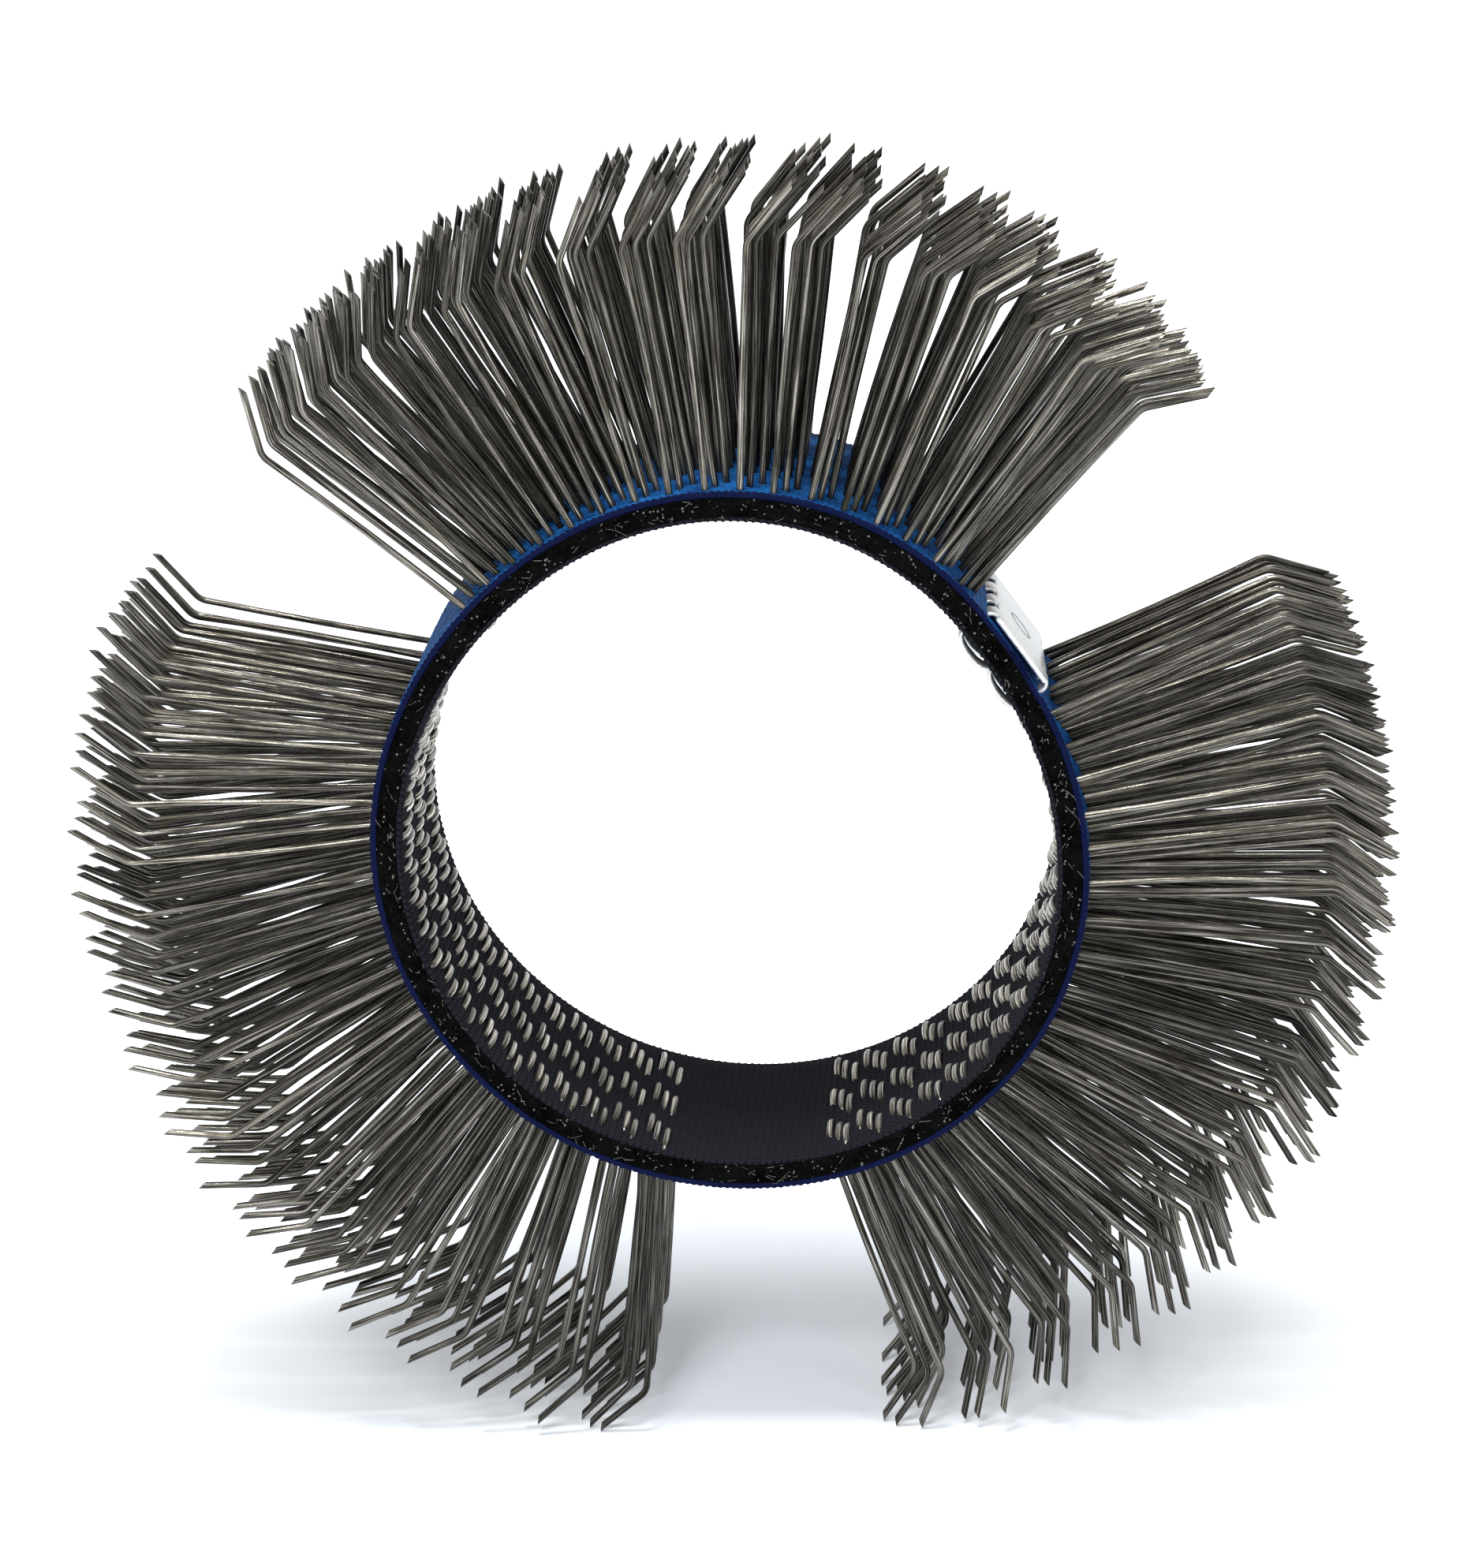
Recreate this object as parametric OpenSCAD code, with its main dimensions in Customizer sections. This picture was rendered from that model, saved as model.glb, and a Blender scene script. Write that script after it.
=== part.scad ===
// Rotary wire-brush belt: bent spring-wire staples driven through a textile-and-rubber
// belt that is closed into a ring by a toothed clip. The belt seats on a hub with three
// claws, which pass through the gaps between the three packs of bristles.
// The ring's axis is Y, its front face looks along -Y, and angles are counted
// anticlockwise from +X as seen from the front.

/* [Belt] */
// Bore of the closed belt, seated on its hub
bore_d = 55.5; // [45:0.5:70]
// Width of the belt along its axis
belt_w = 23; // [18:0.5:46]
// Thickness of the ribbed lining ply
lining_t = 0.55; // [0.45:0.05:1]
// Thickness of the rubberised core ply
core_t = 1.65; // [1:0.05:3]
// Thickness of the woven cover ply
cover_t = 0.75; // [0.4:0.05:1.5]
// Slit where the two ends of the belt butt together
slit_w = 0.4; // [0.2:0.1:1]

/* [Wire] */
// Diameter of the spring wire
wire_d = 0.7; // [0.5:0.05:0.85]
// Leg from the belt's surface to the knee
leg_l = 20.8; // [12:0.2:30]
// Tip from the knee to the cut end
tip_l = 6; // [3:0.5:9]
// Bend at the knee
knee_a = 38; // [20:1:50]
// Radius of the knee and of the crown's corners, on the wire's centre line
bend_r = 0.8; // [0.6:0.1:1.2]
// Height above the belt up to which a leg stays stiff, where its flexing hinge lies
root_l = 4; // [2:0.5:8]
// Free space in the wire at the flexing hinge
hinge_gap = 0.32; // [0.24:0.02:0.5]

/* [Staple pattern] */
// Lanes of staples across the belt
lanes = 3; // [1:1:5]
// Legs of neighbouring lanes, centre to centre
lane_gap = 2.4; // [1.2:0.1:4]
// Outermost wire centre to the edge of the belt
edge_margin = 0.75; // [0.5:0.05:3]
// Sideways step from one column of a row to the next
column_step = 1.15; // [0.8:0.05:1.5]
// Rows in each pack, with three columns each
rows = 17; // [4:1:17]
// How far the crowns stand out of the lining
crown_proud = 0.09; // [0:0.01:0.2]

/* [Places around the ring] */
// First column of the top pack
top_start = 46; // [44:0.25:60]
// Last column of the top pack
top_end = 134.75; // [125:0.25:140]
// Lean of the top pack's legs from the radius at its first, middle and last column
top_lean = [-1, 3, 7]; // [-5:0.5:15]
// First column of the left pack
left_start = 155.5; // [150:0.25:165]
// Last column of the left pack
left_end = 256.5; // [245:0.25:260]
// Lean of the left pack's legs from the radius at its first, middle and last column
left_lean = [13, 6, 10]; // [-5:0.5:15]
// First column of the right pack
right_start = 285; // [280:0.25:295]
// Last column of the right pack
right_end = 383.25; // [375:0.25:385]
// Lean of the right pack's legs from the radius at its first, middle and last column
right_lean = [1.5, 9, 1.5]; // [-5:0.5:15]
// Middle of the clip
clip_at = 34.75; // [34:0.25:35.5]

/* [Clip] */
// Length of the clip's plate along the belt
clip_l = 8.2; // [6:0.2:10]
// Width of the clip's plate across the belt
clip_w = 16; // [12:0.5:20]
// Distance of the plate from the belt's front edge
clip_inset = 0.4; // [0.2:0.1:1]
// Sheet thickness
clip_t = 0.45; // [0.3:0.05:0.8]
// Teeth at each end
teeth = 4; // [2:1:5]
// Width of a tooth
tooth_w = 2.2; // [1:0.1:2.5]
// Distance from the plate's ends to the teeth's outer faces
tooth_inset = 0.05; // [0:0.05:0.5]
// Free space between the clenched ends of two opposite teeth
clench_gap = 0.9; // [0.4:0.1:3]

/* [Hidden] */
$fn = 48;
columns = 3;
wire_r = wire_d / 2;
half_w = belt_w / 2;
bore_r = bore_d / 2;
lining_r = bore_r + lining_t;
core_r = lining_r + core_t;
belt_r = core_r + cover_t;
bend_swell = 0.01;
bend_lap = 0.02;

// Clip: the plate's underside, the clenched ends' inner face, and the teeth across the belt
clip_seat_r = sqrt(belt_r * belt_r - clip_l * clip_l / 4);
clip_front = clip_inset - half_w;
clench_r = bore_r - crown_proud;
tooth_pitch = (clip_w - tooth_w) / (teeth - 1);
tooth_end = clip_l / 2 - tooth_inset;
tooth_side = [
    [clip_seat_r + clip_t / 2, tooth_end],
    [clench_r, tooth_end],
    [clench_r, clench_gap / 2],
    [clench_r + clip_t, clench_gap / 2],
    [clench_r + clip_t, tooth_end - clip_t],
    [clip_seat_r + clip_t / 2, tooth_end - clip_t]
];

// Crowns: what the lanes leave of the belt's width
crown_l = (belt_w - 2 * edge_margin - (columns - 1) * column_step - (lanes - 1) * lane_gap) / lanes;
lane_pitch = crown_l + lane_gap;
crown_depth = belt_r - (bore_r - crown_proud + wire_r); // crown's centre line below the belt's surface

// Knee: straight stretches end where the bend begins
knee_cut = bend_r * tan(knee_a / 2);

pack_names = ["top", "left", "right"];
pack_starts = [top_start, left_start, right_start];
pack_ends = [top_end, left_end, right_end];
pack_leans = [top_lean, left_lean, right_lean];
row_names = [for (p = pack_names, r = [1 : rows]) str(p, "_row_", r < 10 ? "0" : "", r)];

// How far along its pack a column is, from 0 to 1
function along_pack(row, column) = (row * columns + column) / (rows * columns - 1);
function column_angle(pack, row, column) =
    pack_starts[pack] + (pack_ends[pack] - pack_starts[pack]) * along_pack(row, column);
// Lean on a smooth curve through the pack's first, middle and last values
function column_lean(pack, row, column) =
    let (lean = pack_leans[pack], u = along_pack(row, column))
    lean[0] + (4 * lean[1] - 3 * lean[0] - lean[2]) * u + (2 * lean[0] + 2 * lean[2] - 4 * lean[1]) * u * u;
// Columns step towards the front as they go anticlockwise
function leg_y(lane, side, column) =
    (lane - (lanes - 1) / 2) * lane_pitch + side * crown_l / 2 + ((columns - 1) / 2 - column) * column_step;

// Moves children from a frame whose X is the radius to the place at an angle around the ring
module around(angle) {
    rotate([0, -angle, 0]) children();
}

// A leg's own frame: X runs outwards along the leg from the belt's surface, Z is anticlockwise
module leg_frame(pack, row, column) {
    around(column_angle(pack, row, column))
        translate([belt_r, 0, 0]) rotate([0, -column_lean(pack, row, column), 0]) children();
}

// Straight wire along X
module wire(from, to) {
    translate([from, 0, 0]) rotate([0, 90, 0]) cylinder(h = to - from, r = wire_r);
}

// Bend that starts at the origin along X and turns towards -Z. It is swollen a little, as
// bent wire is, and the straight wires run a little way into its ends.
module wire_bend(angle) {
    translate([0, 0, -bend_r]) rotate([90, 0, 0]) rotate([0, 0, 90 - angle])
        rotate_extrude(angle = angle) translate([bend_r, 0]) circle(r = wire_r + bend_swell);
}

// The part of a leg that flexes: leg, knee and tip
module free_wire() {
    wire(root_l + hinge_gap / 2, leg_l - knee_cut + bend_lap);
    translate([leg_l - knee_cut, 0, 0]) wire_bend(knee_a);
    translate([leg_l, 0, 0]) rotate([0, knee_a, 0]) wire(knee_cut - bend_lap, tip_l);
}

// One staple without its free wires: the crown inside the belt and two stiff roots
module staple(middle) {
    translate([0, middle, 0]) {
        for (side = [-1, 1]) {
            translate([0, side * crown_l / 2, 0])
                wire(bend_r - crown_depth - bend_lap, root_l - hinge_gap / 2);
            translate([-crown_depth, side * (crown_l / 2 - bend_r), 0])
                rotate([0, 0, side * 90]) rotate([-side * 90, 0, 0]) wire_bend(90);
        }
        translate([-crown_depth, 0, 0]) rotate([90, 0, 0])
            cylinder(h = crown_l - 2 * (bend_r - bend_lap), r = wire_r, center = true);
    }
}

module ply(inner_r, outer_r) {
    difference() {
        rotate([90, 0, 0]) cylinder(h = belt_w, r = outer_r, center = true);
        rotate([90, 0, 0]) cylinder(h = belt_w + 2, r = inner_r, center = true);
        around(clip_at) translate([0, -half_w - 1, -slit_w / 2]) cube([belt_r + 1, belt_w + 2, slit_w]);
    }
}

module lining_ply() {
    color([0.08, 0.09, 0.12]) ply(bore_r, lining_r);
}

module core_ply() {
    color([0.05, 0.05, 0.055]) ply(lining_r, core_r);
}

// The cover has a flat under the clip, cut as deep as the plate's ends need
module cover_ply() {
    color([0.08, 0.22, 0.46]) difference() {
        ply(core_r, belt_r);
        around(clip_at) translate([clip_seat_r, clip_front, -clip_l / 2])
            cube([belt_r - clip_seat_r + 1, clip_w, clip_l]);
    }
}

// Toothed plate outside, teeth through the plies, ends clenched flat in the lining
module joint_clip() {
    color([0.82, 0.83, 0.84]) around(clip_at) {
        translate([clip_seat_r, clip_front, -clip_l / 2]) cube([clip_t, clip_w, clip_l]);
        for (side = [0, 1], i = [0 : teeth - 1])
            mirror([0, 0, side]) translate([0, clip_front + i * tooth_pitch + tooth_w, 0])
                rotate([90, 0, 0]) linear_extrude(tooth_w) polygon(tooth_side);
    }
}

module staple_crowns(pack) {
    color([0.55, 0.54, 0.52])
        for (row = [0 : rows - 1], column = [0 : columns - 1], lane = [0 : lanes - 1])
            leg_frame(pack, row, column) staple(leg_y(lane, 0, column));
}

module wire_row(pack, row) {
    color([0.42, 0.4, 0.37])
        for (column = [0 : columns - 1], lane = [0 : lanes - 1], side = [-1, 1])
            leg_frame(pack, row, column) translate([0, leg_y(lane, side, column), 0]) free_wire();
}

lining_ply();
core_ply();
cover_ply();
joint_clip();
for (p = [0 : 2])
    staple_crowns(p);
for (p = [0 : 2], r = [0 : rows - 1])
    wire_row(p, r);
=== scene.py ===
import math
import random
import bpy
import numpy as np
from mathutils import Matrix, Vector, noise


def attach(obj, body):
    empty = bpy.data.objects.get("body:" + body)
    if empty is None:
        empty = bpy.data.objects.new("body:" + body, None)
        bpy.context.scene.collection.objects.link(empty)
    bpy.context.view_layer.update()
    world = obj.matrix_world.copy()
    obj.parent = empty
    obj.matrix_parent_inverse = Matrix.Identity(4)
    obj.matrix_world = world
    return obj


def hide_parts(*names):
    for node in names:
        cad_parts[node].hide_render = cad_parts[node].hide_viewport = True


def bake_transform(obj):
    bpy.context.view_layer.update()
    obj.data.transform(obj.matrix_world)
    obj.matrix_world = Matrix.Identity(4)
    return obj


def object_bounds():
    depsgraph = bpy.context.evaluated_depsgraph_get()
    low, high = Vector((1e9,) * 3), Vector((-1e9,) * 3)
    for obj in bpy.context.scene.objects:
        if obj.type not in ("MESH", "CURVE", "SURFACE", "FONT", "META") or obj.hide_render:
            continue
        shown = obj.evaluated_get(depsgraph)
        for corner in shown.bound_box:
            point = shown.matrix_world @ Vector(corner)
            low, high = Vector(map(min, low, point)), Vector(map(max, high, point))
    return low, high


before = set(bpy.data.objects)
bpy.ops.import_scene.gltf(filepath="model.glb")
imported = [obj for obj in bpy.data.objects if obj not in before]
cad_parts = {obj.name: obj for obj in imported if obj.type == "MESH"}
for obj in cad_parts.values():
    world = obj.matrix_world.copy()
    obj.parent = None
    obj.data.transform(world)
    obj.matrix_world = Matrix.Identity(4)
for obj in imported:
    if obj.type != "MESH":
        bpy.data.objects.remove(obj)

cad_low, cad_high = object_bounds()

# ------------------------------------------------------------------ camera and studio
# A long lens a little above the brush and to its right, so that the bore's lower wall shows.
# The brush stands on a pale sheet under one wide lamp overhead and two soft ones in front.
LONG_SIDE_PX = 1988
lens_px = 5767
camera_height = math.radians(18.2)
camera_side = math.radians(3.8)
camera_distance = 0.395
camera_slide, camera_lift = -0.00027, 0.00223
brush_roll = math.radians(2.0)

back = Vector((math.sin(camera_side) * math.cos(camera_height),
               -math.cos(camera_side) * math.cos(camera_height),
               math.sin(camera_height)))
right = (-back).cross(Vector((0, 0, 1))).normalized()
up = right.cross(-back)
camera_at = back * camera_distance + right * camera_slide + up * camera_lift
placed = Matrix((right, up, back)).transposed().to_4x4()
placed.translation = camera_at
camera_data = bpy.data.cameras.new("studio_camera")
camera_data.lens = lens_px / LONG_SIDE_PX * camera_data.sensor_width
camera_data.clip_start = 0.01
camera = bpy.data.objects.new("studio_camera", camera_data)
camera.matrix_world = Matrix.Rotation(brush_roll, 4, "Y") @ placed
bpy.context.collection.objects.link(camera)
bpy.context.scene.camera = camera
bpy.context.scene.view_settings.view_transform = "Standard"

floor_z = cad_low.z + 0.0010


def lamp(name, at, target, size, watts, tint):
    data = bpy.data.lights.new(name, "AREA")
    data.shape = "DISK"
    data.size = size
    data.energy = watts
    data.color = tint
    obj = bpy.data.objects.new(name, data)
    obj.location = at
    obj.rotation_euler = (Vector(target) - Vector(at)).to_track_quat("-Z", "Y").to_euler()
    bpy.context.collection.objects.link(obj)


lamp("overhead", (-0.05, -0.07, 0.60), (0, 0, 0), 0.17, 3.4, (1.0, 0.99, 0.97))
lamp("front_top", (-0.12, -0.55, 0.48), (0, 0, 0), 0.26, 3.0, (1.0, 0.98, 0.95))
lamp("front_right", (0.55, -0.35, 0.25), (0, 0, 0), 0.22, 0.9, (0.97, 0.98, 1.0))

world = bpy.data.worlds.new("studio")
bpy.context.scene.world = world
world.use_nodes = True
wn, wl = world.node_tree.nodes, world.node_tree.links
wn.clear()
room = wn.new("ShaderNodeBackground")
room.inputs["Color"].default_value = (0.95, 0.97, 1.0, 1)
room.inputs["Strength"].default_value = 0.30
white = wn.new("ShaderNodeBackground")
white.inputs["Color"].default_value = (1, 1, 1, 1)
white.inputs["Strength"].default_value = 1.0


def seen_directly(nodes, links):
    """1 for rays that come straight from the camera, from gloss or through glass."""
    rays = nodes.new("ShaderNodeLightPath")
    total = rays.outputs["Is Camera Ray"]
    for kind in ("Is Glossy Ray", "Is Transmission Ray"):
        most = nodes.new("ShaderNodeMath")
        most.operation = "MAXIMUM"
        links.new(total, most.inputs[0])
        links.new(rays.outputs[kind], most.inputs[1])
        total = most.outputs[0]
    return total


pick = wn.new("ShaderNodeMixShader")
wl.new(seen_directly(wn, wl), pick.inputs["Fac"])
wl.new(room.outputs[0], pick.inputs[1])
wl.new(white.outputs[0], pick.inputs[2])
wl.new(pick.outputs[0], wn.new("ShaderNodeOutputWorld").inputs["Surface"])


def new_material(name):
    material = bpy.data.materials.new(name)
    material.use_nodes = True
    nodes, links = material.node_tree.nodes, material.node_tree.links
    nodes.clear()
    output = nodes.new("ShaderNodeOutputMaterial")
    return material, nodes, links, output


def mesh_piece(name, vertices, faces, material, smooth=True):
    mesh = bpy.data.meshes.new(name)
    mesh.from_pydata([tuple(v) for v in vertices], [], faces)
    mesh.materials.append(material)
    mesh.polygons.foreach_set("use_smooth", [smooth] * len(mesh.polygons))
    mesh.update()
    obj = bpy.data.objects.new(name, mesh)
    bpy.context.collection.objects.link(obj)
    return obj


sheet_material, nodes, links, output = new_material("pale_sheet")
paper = nodes.new("ShaderNodeBsdfDiffuse")
paper.inputs["Color"].default_value = (0.79, 0.85, 0.92, 1)
glow = nodes.new("ShaderNodeEmission")
glow.inputs["Color"].default_value = (1, 1, 1, 1)
from_brush = nodes.new("ShaderNodeVectorMath")
from_brush.operation = "LENGTH"
sheet_place = nodes.new("ShaderNodeTexCoord")
links.new(sheet_place.outputs["Object"], from_brush.inputs[0])
far_glow = nodes.new("ShaderNodeMapRange")
far_glow.inputs["From Min"].default_value = 0.064
far_glow.inputs["From Max"].default_value = 0.100
far_glow.inputs["To Min"].default_value = 0.24
far_glow.inputs["To Max"].default_value = 1.0
links.new(from_brush.outputs["Value"], far_glow.inputs["Value"])
seen = nodes.new("ShaderNodeMath")
seen.operation = "MULTIPLY"
links.new(seen_directly(nodes, links), seen.inputs[0])
links.new(far_glow.outputs[0], seen.inputs[1])
links.new(seen.outputs[0], glow.inputs["Strength"])
both = nodes.new("ShaderNodeAddShader")
links.new(paper.outputs[0], both.inputs[0])
links.new(glow.outputs[0], both.inputs[1])
links.new(both.outputs[0], output.inputs["Surface"])
reach = 4.0
sheet = mesh_piece("floor_sheet", [(-reach, -reach, floor_z), (reach, -reach, floor_z),
                                   (reach, reach, floor_z), (-reach, reach, floor_z)],
                   [(0, 1, 2, 3)], sheet_material)

# ------------------------------------------------------------------ the belt's shape
# The belt is a flexible strip sprung into a ring, so it isn't quite round, and the stiff clip
# pulls its back edge in. Sizes are in millimetres, angles in degrees anticlockwise from +X.
MM = 0.001
bore_r = 28.1
lining_r = 28.5
core_r = 30.15
belt_r = 30.7
half_w = 11.5
clip_at = 34.75


def out_of_round(angle, y):
    a = math.radians(angle) + brush_roll
    shift = (-0.33 * math.cos(2 * a) - 0.25 * math.sin(2 * a) - 0.17 * math.cos(3 * a)
             - 0.35 * math.sin(3 * a) + 0.07 * math.cos(4 * a) - 0.08 * math.sin(4 * a))
    from_clip = (angle - clip_at + 180) % 360 - 180
    near = 1 / (1 + (from_clip / 13.0) ** 6)
    backward = (y + half_w) / (2 * half_w)
    behind_clip = max(0.0, backward - 0.70) / 0.30
    return shift - near * (0.15 + 1.15 * backward + 1.1 * behind_clip ** 2)


def on_ring(radius, angle, y):
    r = radius + out_of_round(angle, y)
    a = math.radians(angle)
    return np.array((r * math.cos(a), y, r * math.sin(a)))


# ------------------------------------------------------------------ finishes shared by several pieces
def group_with(name, inputs, outputs):
    tree = bpy.data.node_groups.new(name, "ShaderNodeTree")
    for label, kind, value in inputs:
        socket = tree.interface.new_socket(label, in_out="INPUT", socket_type=kind)
        socket.default_value = value
    for label, kind in outputs:
        tree.interface.new_socket(label, in_out="OUTPUT", socket_type=kind)
    return tree, tree.nodes, tree.links, tree.nodes.new("NodeGroupInput"), tree.nodes.new("NodeGroupOutput")


def math_node(nodes, links, operation, a, b=None):
    node = nodes.new("ShaderNodeMath")
    node.operation = operation
    for slot, value in enumerate((a, b)):
        if value is None:
            continue
        if isinstance(value, (int, float)):
            node.inputs[slot].default_value = value
        else:
            links.new(value, node.inputs[slot])
    return node.outputs[0]


# Uneven tone: two sizes of noise that darken or lighten a colour in patches
uneven, gn, gl, gin, gout = group_with(
    "uneven_tone",
    [("Dark", "NodeSocketColor", (0, 0, 0, 1)), ("Light", "NodeSocketColor", (1, 1, 1, 1)),
     ("Patch Scale", "NodeSocketFloat", 300.0), ("Grain Scale", "NodeSocketFloat", 3000.0)],
    [("Color", "NodeSocketColor"), ("Mask", "NodeSocketFloat")])
place = gn.new("ShaderNodeTexCoord")
patch = gn.new("ShaderNodeTexNoise")
patch.inputs["Detail"].default_value = 3
grain = gn.new("ShaderNodeTexNoise")
grain.inputs["Detail"].default_value = 2
for node, label in ((patch, "Patch Scale"), (grain, "Grain Scale")):
    gl.new(place.outputs["Object"], node.inputs["Vector"])
    gl.new(gin.outputs[label], node.inputs["Scale"])
total = math_node(gn, gl, "ADD", patch.outputs["Fac"], grain.outputs["Fac"])
spread = gn.new("ShaderNodeMapRange")
spread.inputs["From Min"].default_value = 0.72
spread.inputs["From Max"].default_value = 1.28
gl.new(total, spread.inputs["Value"])
blend_colour = gn.new("ShaderNodeMix")
blend_colour.data_type = "RGBA"
gl.new(spread.outputs[0], blend_colour.inputs["Factor"])
gl.new(gin.outputs["Dark"], blend_colour.inputs["A"])
gl.new(gin.outputs["Light"], blend_colour.inputs["B"])
gl.new(blend_colour.outputs["Result"], gout.inputs["Color"])
gl.new(spread.outputs[0], gout.inputs["Mask"])

# Weave: crossing threads round and across the belt, from the angle round the ring and Y
weave, gn, gl, gin, gout = group_with(
    "belt_weave",
    [("Round Count", "NodeSocketFloat", 320.0), ("Across Pitch", "NodeSocketFloat", 0.0006)],
    [("Height", "NodeSocketFloat")])
place = gn.new("ShaderNodeTexCoord")
split = gn.new("ShaderNodeSeparateXYZ")
gl.new(place.outputs["Object"], split.inputs[0])
turn = math_node(gn, gl, "ARCTAN2", split.outputs["Z"], split.outputs["X"])
wobble = gn.new("ShaderNodeTexNoise")
wobble.inputs["Scale"].default_value = 500
gl.new(place.outputs["Object"], wobble.inputs["Vector"])
around = math_node(gn, gl, "MULTIPLY", turn, gin.outputs["Round Count"])
around = math_node(gn, gl, "ADD", around, math_node(gn, gl, "MULTIPLY", wobble.outputs["Fac"], 2.5))
across = math_node(gn, gl, "DIVIDE", split.outputs["Y"], gin.outputs["Across Pitch"])
across = math_node(gn, gl, "ADD", math_node(gn, gl, "MULTIPLY", across, 2 * math.pi),
                   math_node(gn, gl, "MULTIPLY", wobble.outputs["Fac"], 2.5))
product = math_node(gn, gl, "MULTIPLY", math_node(gn, gl, "SINE", around),
                    math_node(gn, gl, "SINE", across))
gl.new(math_node(gn, gl, "MULTIPLY_ADD", product, 0.5), gout.inputs["Height"])


def use(nodes, tree, **values):
    node = nodes.new("ShaderNodeGroup")
    node.node_tree = tree
    for label, value in values.items():
        node.inputs[label.replace("_", " ")].default_value = value
    return node


def bump(nodes, links, height, distance, strength=1.0):
    node = nodes.new("ShaderNodeBump")
    node.inputs["Distance"].default_value = distance
    node.inputs["Strength"].default_value = strength
    links.new(height, node.inputs["Height"])
    return node.outputs["Normal"]


# ------------------------------------------------------------------ wire staples
# U-shaped staples of drawn spring steel, driven through the belt from inside. Their crowns lie
# on the lining, their legs lean a little and end in a knee and a tip that is sheared obliquely.
wire_r = 0.30
leg_l = 20.8
tip_l = 6.0
knee_bend = 38.0
knee_r = 1.7
rows = 17
columns = 3
lanes = 3
crown_l = 4.8
lane_pitch = 7.2
column_step = 1.15
sides = 9
packs = {
    "top": {"angles": (46.0, 134.75), "lean": (-1.0, 3.0, 7.0)},
    "left": {"angles": (155.5, 256.5), "lean": (13.0, 6.0, 10.0)},
    "right": {"angles": (285.0, 383.25), "lean": (1.5, 9.0, 1.5)},
}

wire_material, nodes, links, output = new_material("drawn_spring_steel")
steel = nodes.new("ShaderNodeBsdfPrincipled")
steel.inputs["Metallic"].default_value = 0.9
grain_place = nodes.new("ShaderNodeAttribute")
grain_place.attribute_name = "wire_grain"
streaks = nodes.new("ShaderNodeTexNoise")
streaks.inputs["Scale"].default_value = 3.2
streaks.inputs["Detail"].default_value = 4
links.new(grain_place.outputs["Vector"], streaks.inputs["Vector"])
# Pale streaks along each wire: partly the marks left by drawing the wire, partly painted highlight lines
drawn_streak_highlight = nodes.new("ShaderNodeMapRange")
drawn_streak_highlight.inputs["From Min"].default_value = 0.45
drawn_streak_highlight.inputs["From Max"].default_value = 0.68
links.new(streaks.outputs["Fac"], drawn_streak_highlight.inputs["Value"])
tone = use(nodes, uneven, Dark=(0.005, 0.004, 0.003, 1), Light=(0.040, 0.035, 0.025, 1),
           Patch_Scale=220.0, Grain_Scale=900.0)
# A pale colour mixed in along the streaks lightens the base colour there: partly drawing marks, partly painted
# highlight
streak_highlight_mix = nodes.new("ShaderNodeMix")
streak_highlight_mix.data_type = "RGBA"
streak_highlight_mix.inputs["B"].default_value = (0.40, 0.38, 0.34, 1)
links.new(math_node(nodes, links, "MULTIPLY", drawn_streak_highlight.outputs[0], 0.7), streak_highlight_mix.inputs["Factor"])
links.new(tone.outputs["Color"], streak_highlight_mix.inputs["A"])
# Per-vertex multiplier: a random tone for each staple, and a painted highlight on the middle of each crown
shade = nodes.new("ShaderNodeAttribute")
shade.attribute_name = "wire_tone_and_crown_highlight"
tint = nodes.new("ShaderNodeMix")
tint.data_type = "RGBA"
tint.blend_type = "MULTIPLY"
tint.clamp_result = False
tint.inputs["Factor"].default_value = 1.0
links.new(streak_highlight_mix.outputs["Result"], tint.inputs["A"])
links.new(shade.outputs["Color"], tint.inputs["B"])
links.new(tint.outputs["Result"], steel.inputs["Base Color"])
rough = nodes.new("ShaderNodeMapRange")
rough.inputs["To Min"].default_value = 0.34
rough.inputs["To Max"].default_value = 0.20
links.new(drawn_streak_highlight.outputs[0], rough.inputs["Value"])
links.new(rough.outputs[0], steel.inputs["Roughness"])
links.new(bump(nodes, links, drawn_streak_highlight.outputs[0], 0.000012), steel.inputs["Normal"])
links.new(steel.outputs[0], output.inputs["Surface"])


def turned(direction, axis, degrees):
    return np.array(Matrix.Rotation(math.radians(degrees), 3, Vector(axis)) @ Vector(direction))


def along(angle):
    a = math.radians(angle)
    return np.array((math.cos(a), 0.0, math.sin(a)))


def leg_path(angle, y, lean, bend, length, tip, splay, twist, bow):
    """Points from the belt's surface to the tip's end."""
    root = on_ring(belt_r, angle, y)
    direction = along(angle + lean)
    direction[1] = math.tan(math.radians(splay))
    direction /= np.linalg.norm(direction)
    sideways = turned(direction, (0, 1, 0), -90)
    cut = knee_r * math.tan(math.radians(bend) / 2)
    straight = length - cut
    points = [root + direction * straight * k + sideways * bow * math.sin(math.pi * k)
              for k in (0.0, 0.08, 0.16, 0.3, 0.5, 0.75, 1.0)]
    axis = turned((0, 1, 0), direction, twist)
    centre = points[-1] + turned(direction, axis, 90) * knee_r
    arm = points[-1] - centre
    for k in range(1, 6):
        points.append(centre + turned(arm, axis, bend * k / 5))
    onward = turned(direction, axis, bend)
    points.append(points[-1] + onward * (tip - cut) * 0.55)
    points.append(points[-2] + onward * (tip - cut))
    return points


def standing_leg(angle, y, lean, bend, length, tip, splay, twist, bow):
    """A leg whose tip would go through the floor gives until it rests on it."""
    lowest = floor_z / MM + wire_r * 0.6
    for give in range(60):
        points = leg_path(angle, y, lean, bend + give * 0.9, length - give * 0.015, tip, splay, twist, bow)
        if min(p[2] for p in points) >= lowest:
            break
    return points


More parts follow.
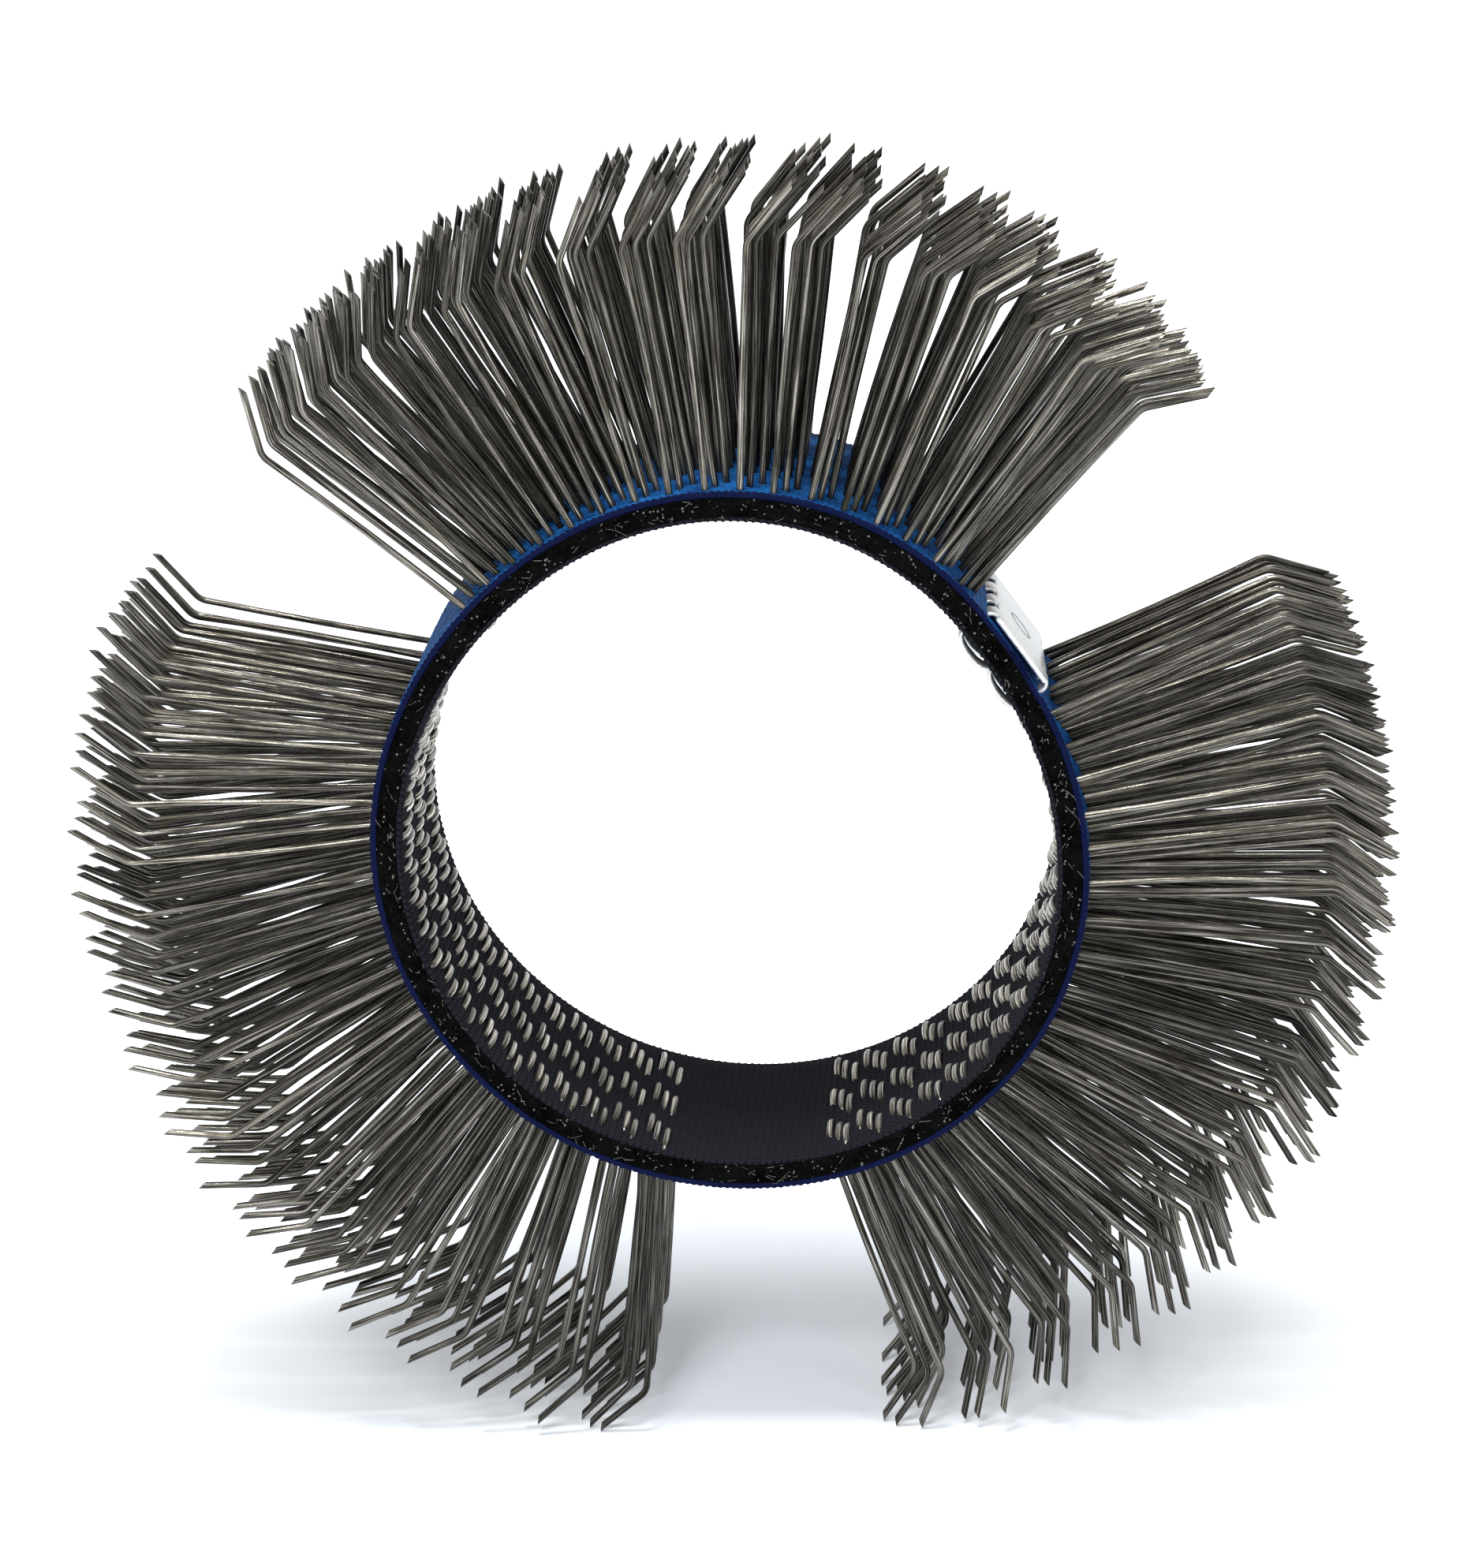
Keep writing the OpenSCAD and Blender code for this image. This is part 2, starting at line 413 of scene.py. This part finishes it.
def crown_path(angle, y_a, y_b, proud):
    """The arch of a crown from one leg to the other, on the inside of the ring."""
    crest = bore_r - proud + wire_r
    middle, half = (y_a + y_b) / 2, (y_b - y_a) / 2
    points = []
    for k in range(9):
        u = -math.cos(math.pi * k / 8)
        depth = 1.15 * (1 - (1 - abs(u) ** 2.6) ** 0.5)
        points.append(on_ring(crest + depth, angle, middle + half * u))
    return points


def tube(points, radius, vertices, faces, sheared=0.0, grain=None):
    """A swept round wire with closed ends, cut obliquely by the sheared length; grain gets a place
    for each vertex that runs round the wire and slowly along it."""
    first = len(vertices)
    points = [np.asarray(p) for p in points]
    tangents = []
    for i in range(len(points)):
        t = points[min(i + 1, len(points) - 1)] - points[max(i - 1, 0)]
        tangents.append(t / np.linalg.norm(t))
    side = np.cross(tangents[0], (0, 1, 0))
    side /= np.linalg.norm(side)
    travelled = 0.0
    places = []
    for i, (p, t) in enumerate(zip(points, tangents)):
        side = side - t * side.dot(t)
        side /= np.linalg.norm(side)
        other = np.cross(t, side)
        end = -1 if i == 0 else 1 if i == len(points) - 1 else 0
        if i:
            travelled += np.linalg.norm(p - points[i - 1])
        for k in range(sides):
            a = 2 * math.pi * k / sides
            offset = side * math.cos(a) + other * math.sin(a)
            back_cut = 0.0
            if end and sheared:
                inner = offset.dot(np.cross(t * end, (0, 1, 0)))
                back_cut = sheared * (1 - inner) / 2
            vertices.append((p + offset * radius - t * end * back_cut) * MM)
            places.append((math.cos(a), math.sin(a), travelled * 0.05))
    count = len(points)
    for i in range(count - 1):
        for k in range(sides):
            a, b = first + i * sides + k, first + i * sides + (k + 1) % sides
            faces.append((a, b, b + sides, a + sides))
    for i, order in ((0, -1), (count - 1, 1)):
        ring = range(i * sides, (i + 1) * sides)
        faces.append(tuple(range(len(vertices), len(vertices) + sides))[::order])
        vertices += [vertices[first + k] for k in ring]
        places += [places[k] for k in ring]
    if grain is not None:
        shift = 40 * rng.random()
        grain += [(x + shift, y, z + shift) for x, y, z in places]


rng = random.Random(23)
for pack, plan in packs.items():
    start, end = plan["angles"]
    first, middle, last = plan["lean"]
    for row in range(rows):
        vertices, faces, tones_and_crown_highlights, grain = [], [], [], []
        row_lean = rng.gauss(0, 0.6)
        row_bend = rng.gauss(0, 1.0)
        for column in range(columns):
            u = (row * columns + column) / (rows * columns - 1)
            angle = start + (end - start) * u + (column - 1) * -0.22
            lean = first + (4 * middle - 3 * first - last) * u + (2 * first + 2 * last - 4 * middle) * u * u
            lean += row_lean + (column - 1) * -1.1 + rng.gauss(0, 0.35)
            for lane in range(lanes):
                mid = (lane - 1) * lane_pitch + (1 - column) * column_step + rng.gauss(0, 0.08)
                at = angle + rng.gauss(0, 0.10)
                ends = []
                for side in (-1, 1):
                    y = mid + side * crown_l / 2
                    ends.append(standing_leg(
                        at, y, lean + rng.gauss(0, 0.40), knee_bend + row_bend + rng.gauss(0, 1.3),
                        leg_l + rng.gauss(0, 0.16), tip_l + rng.gauss(0, 0.14),
                        rng.gauss(0, 0.35) + y * 0.02, rng.gauss(0, 3.0), rng.gauss(0, 0.12)))
                crown = crown_path(at, mid - crown_l / 2, mid + crown_l / 2, 0.48 + rng.gauss(0, 0.05))
                path = ends[0][::-1] + crown + ends[1]
                tube(path, wire_r, vertices, faces, sheared=0.7, grain=grain)
                # Each staple gets a random tone; the middle of its crown is lightened further as a painted highlight
                light = 0.40 + 1.3 * rng.random()
                leg_rings, crown_rings = len(ends[0]), len(crown)
                for ring in range(len(path) + 2):
                    crest_highlight = math.sin(math.pi * min(max((ring - leg_rings + 1) / (crown_rings + 1), 0), 1))
                    tones_and_crown_highlights += [light + 1.6 * crest_highlight ** 3] * sides
        piece = mesh_piece(f"{pack}_wires_{row + 1:02d}", vertices, faces, wire_material)
        piece.data.attributes.new("wire_tone_and_crown_highlight", "FLOAT", "POINT").data.foreach_set("value", tones_and_crown_highlights)
        piece.data.attributes.new("wire_grain", "FLOAT_VECTOR", "POINT").data.foreach_set(
            "vector", np.array(grain).ravel())
        node = f"{pack}_row_{row + 1:02d}"
        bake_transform(piece)
        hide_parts(node, pack + "_staple_crowns")

# ------------------------------------------------------------------ plies of the belt
# Three plies glued together: a thin ribbed lining inside, a thick rubberised textile core whose
# cut edges show, and a woven blue cover outside. The belt's ends butt under the clip.
SEAM = 0.10


def ply(name, section, steps, ripple, material):
    """section is a closed outline of (radius, y); ripple(angle, radius, y) gives a small radial shift."""
    vertices, faces = [], []
    count = len(section)
    for i in range(steps + 1):
        angle = clip_at + SEAM + (360 - 2 * SEAM) * i / steps
        for r, y in section:
            dr, dy = ripple(angle, r, y)
            vertices.append(on_ring(r + dr, angle, y + dy) * MM)
    for i in range(steps):
        for k in range(count):
            a, b = i * count + k, i * count + (k + 1) % count
            faces.append((a, a + count, b + count, b))
    faces.append(tuple(reversed(range(steps * count, steps * count + count))))
    faces.append(tuple(range(count)))
    return mesh_piece(name, vertices, faces, material)


def outline(r_in, r_out, half, across, deep, soft):
    """Rectangle with softened corners, with points along its four sides."""
    points = [(r_in, -half + soft + (2 * half - 2 * soft) * k / across) for k in range(across + 1)]
    points += [(r_in + soft * 0.3, half - soft * 0.3)]
    points += [(r_in + soft + (r_out - r_in - 2 * soft) * k / deep, half) for k in range(deep + 1)]
    points += [(r_out - soft * 0.3, half - soft * 0.3)]
    points += [(r_out, half - soft - (2 * half - 2 * soft) * k / across) for k in range(across + 1)]
    points += [(r_out - soft * 0.3, -half + soft * 0.3)]
    points += [(r_out - soft - (r_out - r_in - 2 * soft) * k / deep, -half) for k in range(deep + 1)]
    points += [(r_in + soft * 0.3, -half + soft * 0.3)]
    return points


def rough_at(angle, r, y, size):
    a = math.radians(angle)
    return noise.noise(Vector((r * math.cos(a), y, r * math.sin(a))) / size)


# Lining: black ribbed textile with a dull grey-green bloom where it was coated; the crests of its weave are painted
# lighter and its grooves darker, as painted shading
lining_material, nodes, links, output = new_material("ribbed_lining")
cloth = nodes.new("ShaderNodeBsdfPrincipled")
cloth.inputs["Specular IOR Level"].default_value = 0.04
cloth.inputs["Roughness"].default_value = 0.8
tone = use(nodes, uneven, Dark=(0.001, 0.001, 0.0015, 1), Light=(0.008, 0.0085, 0.012, 1),
           Patch_Scale=180.0, Grain_Scale=2400.0)
threads = use(nodes, weave, Round_Count=290.0, Across_Pitch=0.0007)
# Painted shading of the weave: its crests are painted lighter and its grooves darker
painted_weave_shading = nodes.new("ShaderNodeMix")
painted_weave_shading.data_type = "RGBA"
painted_weave_shading.inputs["B"].default_value = (0.015, 0.016, 0.022, 1)
crest = math_node(nodes, links, "MULTIPLY", threads.outputs["Height"], 1.6)
links.new(crest, painted_weave_shading.inputs["Factor"])
links.new(tone.outputs["Color"], painted_weave_shading.inputs["A"])
links.new(painted_weave_shading.outputs["Result"], cloth.inputs["Base Color"])
links.new(bump(nodes, links, threads.outputs["Height"], 0.00005), cloth.inputs["Normal"])
links.new(cloth.outputs[0], output.inputs["Surface"])

RIBS = 290


def lining_ripple(angle, r, y):
    if r > bore_r + 0.05:
        return 0.0, 0.0
    rib = 0.10 * math.sin(math.radians(angle) * RIBS) + 0.05 * rough_at(angle, r, y, 0.9)
    edge = 0.12 * max(0.0, abs(y) - half_w + 0.7)
    return rib + edge, 0.05 * rough_at(angle, r, y, 0.5)


lining = ply("ribbed_lining", outline(bore_r, lining_r, half_w - 0.05, 12, 2, 0.08), RIBS * 5,
             lining_ripple, lining_material)
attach(lining, "belt")
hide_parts("lining_ply")

# Core: rubber and cloth, cut with a knife, with short pale fibre ends in the cut edge
core_material, nodes, links, output = new_material("cut_core")
rubber = nodes.new("ShaderNodeBsdfPrincipled")
rubber.inputs["Specular IOR Level"].default_value = 0.01
tone = use(nodes, uneven, Dark=(0.0008, 0.0008, 0.0008, 1), Light=(0.006, 0.006, 0.006, 1),
           Patch_Scale=450.0, Grain_Scale=4200.0)
place = nodes.new("ShaderNodeTexCoord")
specks = nodes.new("ShaderNodeTexVoronoi")
specks.inputs["Scale"].default_value = 2600
specks.inputs["Randomness"].default_value = 1.0
links.new(place.outputs["Object"], specks.inputs["Vector"])
chance = nodes.new("ShaderNodeTexNoise")
chance.inputs["Scale"].default_value = 1700
chance.inputs["Detail"].default_value = 2
links.new(place.outputs["Object"], chance.inputs["Vector"])
near = math_node(nodes, links, "LESS_THAN", specks.outputs["Distance"], 0.27)
some = math_node(nodes, links, "GREATER_THAN", chance.outputs["Fac"], 0.57)
speck = math_node(nodes, links, "MULTIPLY", near, some)
paint = nodes.new("ShaderNodeMix")
paint.data_type = "RGBA"
links.new(speck, paint.inputs["Factor"])
links.new(tone.outputs["Color"], paint.inputs["A"])
paint.inputs["B"].default_value = (0.16, 0.16, 0.15, 1)
links.new(paint.outputs["Result"], rubber.inputs["Base Color"])
rubber.inputs["Roughness"].default_value = 0.85
links.new(bump(nodes, links, tone.outputs["Mask"], 0.00012, 0.8), rubber.inputs["Normal"])
links.new(rubber.outputs[0], output.inputs["Surface"])


def core_ripple(angle, r, y):
    if abs(y) < half_w - 0.3:
        return 0.0, 0.0
    out = 1 if y > 0 else -1
    strand = 0.06 * math.sin(r * 9.0 + 1.5 * rough_at(angle, r, y, 1.5))
    return 0.04 * rough_at(angle, r, y, 0.4), out * (0.09 * rough_at(angle, r, y, 0.35) + strand)


core = ply("cut_core", outline(lining_r, core_r, half_w, 8, 8, 0.1), 1100, core_ripple, core_material)
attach(core, "belt")
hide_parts("core_ply")

# Cover: blue woven ply, painted dark navy where its edge is cut, as painted shade on the cut face
cover_material, nodes, links, output = new_material("blue_cover")
cloth = nodes.new("ShaderNodeBsdfPrincipled")
cloth.inputs["Specular IOR Level"].default_value = 0.08
cloth.inputs["Roughness"].default_value = 0.62
tone = use(nodes, uneven, Dark=(0.0015, 0.024, 0.120, 1), Light=(0.012, 0.125, 0.38, 1),
           Patch_Scale=420.0, Grain_Scale=3600.0)
place = nodes.new("ShaderNodeTexCoord")
split = nodes.new("ShaderNodeSeparateXYZ")
links.new(place.outputs["Object"], split.inputs[0])
off_middle = math_node(nodes, links, "ABSOLUTE", split.outputs["Y"])
cut = nodes.new("ShaderNodeMapRange")
cut.inputs["From Min"].default_value = (half_w - 0.40) * MM
cut.inputs["From Max"].default_value = (half_w - 0.12) * MM
links.new(off_middle, cut.inputs["Value"])
# Painted shade: the cut face and a thin band beside it are painted dark navy
navy = nodes.new("ShaderNodeMix")
navy.data_type = "RGBA"
links.new(cut.outputs[0], navy.inputs["Factor"])
links.new(tone.outputs["Color"], navy.inputs["A"])
navy.inputs["B"].default_value = (0.0006, 0.0035, 0.032, 1)
links.new(navy.outputs["Result"], cloth.inputs["Base Color"])
threads = use(nodes, weave, Round_Count=330.0, Across_Pitch=0.0006)
rough_height = math_node(nodes, links, "ADD", threads.outputs["Height"],
                         math_node(nodes, links, "MULTIPLY", tone.outputs["Mask"], 0.6))
links.new(bump(nodes, links, rough_height, 0.00010), cloth.inputs["Normal"])
links.new(cloth.outputs[0], output.inputs["Surface"])


def cover_ripple(angle, r, y):
    if r < core_r + 0.05:
        return 0.0, 0.0
    wave = 0.05 * math.sin(math.radians(angle) * 330) + 0.05 * rough_at(angle, r, y, 0.6)
    if abs(angle % 360 - clip_at) < 8.0 and y < 4.9 - 0.3:
        wave = -0.14
    out = 1 if y > 0 else -1
    return wave, out * 0.06 * rough_at(angle, r, y, 0.5) * (abs(y) > half_w - 0.3)


cover = ply("blue_cover", outline(core_r, belt_r, half_w, 40, 4, 0.12), 1400, cover_ripple, cover_material)
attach(cover, "belt")
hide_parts("cover_ply")

# ------------------------------------------------------------------ loose fibres of the cut edges
# Short ends of textile stand out of the knife-cut core and cover, more at the front edge.
fibre_r = 0.026
fibre_material, nodes, links, output = new_material("loose_fibres")
cloth = nodes.new("ShaderNodeBsdfPrincipled")
cloth.inputs["Roughness"].default_value = 0.8
cloth.inputs["Specular IOR Level"].default_value = 0.1
tone = use(nodes, uneven, Dark=(0.008, 0.008, 0.008, 1), Light=(0.20, 0.20, 0.18, 1),
           Patch_Scale=500.0, Grain_Scale=5000.0)
links.new(tone.outputs["Color"], cloth.inputs["Base Color"])
links.new(cloth.outputs[0], output.inputs["Surface"])
vertices, faces = [], []
for _ in range(190):
    edge = -1 if rng.random() < 0.7 else 1
    angle = clip_at + 2 + 356 * rng.random()
    r = rng.uniform(bore_r + 0.2, core_r - 0.1)
    length = rng.uniform(0.2, 0.7) if rng.random() < 0.94 else rng.uniform(1.0, 1.8)
    heading = rng.uniform(-1, 1) * 0.9
    curl = rng.gauss(0, 1.2)
    points = []
    for k in range(5):
        s = (k / 4 - 0.5) * length
        across = heading * s + curl * 0.12 * s * s
        lift = 0.05 + 0.08 * math.sin(math.pi * k / 4)
        radius = min(max(r + across, bore_r + 0.05), core_r + 0.1)
        points.append(on_ring(radius, angle + math.degrees(s / r), edge * (half_w + lift)))
    tube(points, fibre_r, vertices, faces)
fibres = mesh_piece("loose_fibres", vertices, faces, fibre_material)
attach(fibres, "belt")

# ------------------------------------------------------------------ joint clip
# One toothed plate pressed from zinc-plated sheet. Its teeth curl down through the belt on both
# sides of the butt joint and are clenched on the inside.
clip_material, nodes, links, output = new_material("zinc_plate")
zinc = nodes.new("ShaderNodeBsdfPrincipled")
zinc.inputs["Metallic"].default_value = 0.55
tone = use(nodes, uneven, Dark=(0.56, 0.57, 0.57, 1), Light=(0.86, 0.87, 0.87, 1),
           Patch_Scale=350.0, Grain_Scale=3000.0)
links.new(tone.outputs["Color"], zinc.inputs["Base Color"])
rough = nodes.new("ShaderNodeMapRange")
rough.inputs["To Min"].default_value = 0.26
rough.inputs["To Max"].default_value = 0.42
links.new(tone.outputs["Mask"], rough.inputs["Value"])
links.new(rough.outputs[0], zinc.inputs["Roughness"])
links.new(bump(nodes, links, tone.outputs["Mask"], 0.00002), zinc.inputs["Normal"])
links.new(zinc.outputs[0], output.inputs["Surface"])

clip_l, clip_w, clip_t = 8.2, 16.0, 0.45
clip_inset = 0.4
teeth, tooth_w = 4, 2.2
back_edge = -half_w + 0.7 * 2 * half_w
front_shift = out_of_round(clip_at, -half_w)
lean_in = math.degrees(math.atan2(front_shift - out_of_round(clip_at, back_edge), back_edge + half_w))
seat = belt_r + 0.45 + front_shift
clip_frame = (Matrix.Rotation(-math.radians(clip_at), 4, "Y") @ Matrix.Translation((seat * MM, -half_w * MM, 0))
              @ Matrix.Rotation(math.radians(lean_in), 4, "Z"))


def strip(path, width, thick, vertices, faces, y0):
    """A bent strip with rounded edges; path is (x, z) points of its middle, in the clip's own frame."""
    first = len(vertices)
    w, t, c = width / 2, thick / 2, thick * 0.3
    profile = [(-w + c, t), (w - c, t), (w, t - c), (w, -t + c), (w - c, -t), (-w + c, -t), (-w, -t + c), (-w, t - c)]
    for i, (x, z) in enumerate(path):
        (xa, za), (xb, zb) = path[max(i - 1, 0)], path[min(i + 1, len(path) - 1)]
        long = math.hypot(xb - xa, zb - za)
        nx, nz = (zb - za) / long, -(xb - xa) / long
        for py, pn in profile:
            vertices.append(Vector((x + nx * pn, y0 + py, z + nz * pn)) * MM)
    n = len(profile)
    for i in range(len(path) - 1):
        for k in range(n):
            a, b = first + i * n + k, first + i * n + (k + 1) % n
            faces.append((a, b, b + n, a + n))
    faces.append(tuple(first + k for k in reversed(range(n))))
    faces.append(tuple(first + (len(path) - 1) * n + k for k in range(n)))


vertices, faces = [], []
curl_r = 0.75
plate_end = clip_l / 2 - 0.75
strip([(0, -plate_end + 2 * plate_end * k / 8) for k in range(9)], clip_w, clip_t, vertices, faces,
      clip_inset + clip_w / 2)
tooth_pitch = (clip_w - tooth_w - 1.1) / (teeth - 1)
wall = belt_r - bore_r
clench_l, clench_bulge = 3.9, 0.75
for end in (-1, 1):
    for i in range(teeth):
        y0 = clip_inset + 0.9 + tooth_w / 2 + i * tooth_pitch
        curl = [(0.02, plate_end - 0.6)]
        for k in range(7):
            a = math.pi / 2 * k / 6
            curl.append((0.02 - curl_r + curl_r * math.cos(a), plate_end - 0.1 + curl_r * math.sin(a)))
        exit_at = curl[-1][1]
        curl.append((-wall - 0.5, exit_at))
        for k in range(1, 10):
            a = math.pi * k / 9
            curl.append((-wall - 0.55 - clench_bulge * math.sin(a), exit_at - clench_l * (1 - math.cos(a)) / 2))
        strip([(x, z * end) for x, z in curl], tooth_w, clip_t * 0.9, vertices, faces, y0)
clip = mesh_piece("joint_clip_plate", vertices, faces, clip_material)
clip.data.transform(clip_frame)
bevel = clip.modifiers.new("softened", "BEVEL")
bevel.width = 0.06 * MM
bevel.segments = 2
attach(clip, "belt")
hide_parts("joint_clip")

# Frayed threads of the cover stand over the joint at the front edge
vertices, faces = [], []
for _ in range(46):
    angle = clip_at - 1.6 + rng.gauss(0, 1.3)
    r = rng.uniform(core_r + 0.05, belt_r - 0.05)
    y = -half_w - 0.02
    points = []
    for k in range(4):
        s = k / 3 * rng.uniform(0.25, 0.6)
        points.append(on_ring(r + s * 0.5, angle + math.degrees(s * 0.3 / r), y - min(0.11, s * 0.3)))
    tube(points, 0.05, vertices, faces)
frays = mesh_piece("frayed_cover_threads", vertices, faces, cover_material)
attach(frays, "belt")

# Stamped ring on the clip's plate: a shallow groove left by the press tool, drawn as a thin darker ring that stands
# slightly proud; its darker colour is painted shade of the groove
groove_shade_material, nodes, links, output = new_material("stamped_groove_shade")
dull = nodes.new("ShaderNodeBsdfPrincipled")
dull.inputs["Metallic"].default_value = 0.6
dull.inputs["Roughness"].default_value = 0.55
tone = use(nodes, uneven, Dark=(0.16, 0.16, 0.165, 1), Light=(0.34, 0.34, 0.34, 1),
           Patch_Scale=900.0, Grain_Scale=5000.0)
links.new(tone.outputs["Color"], dull.inputs["Base Color"])
links.new(dull.outputs[0], output.inputs["Surface"])
vertices, faces = [], []
stamp_r = 1.3
ring_points = [(clip_t / 2 - 0.01, 8.4 + stamp_r * math.cos(math.tau * k / 40),
                stamp_r * math.sin(math.tau * k / 40)) for k in range(41)]
tube(ring_points, 0.05, vertices, faces)
groove = mesh_piece("clip_stamped_ring", vertices, faces, groove_shade_material)
groove.data.transform(clip_frame)
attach(groove, "belt")
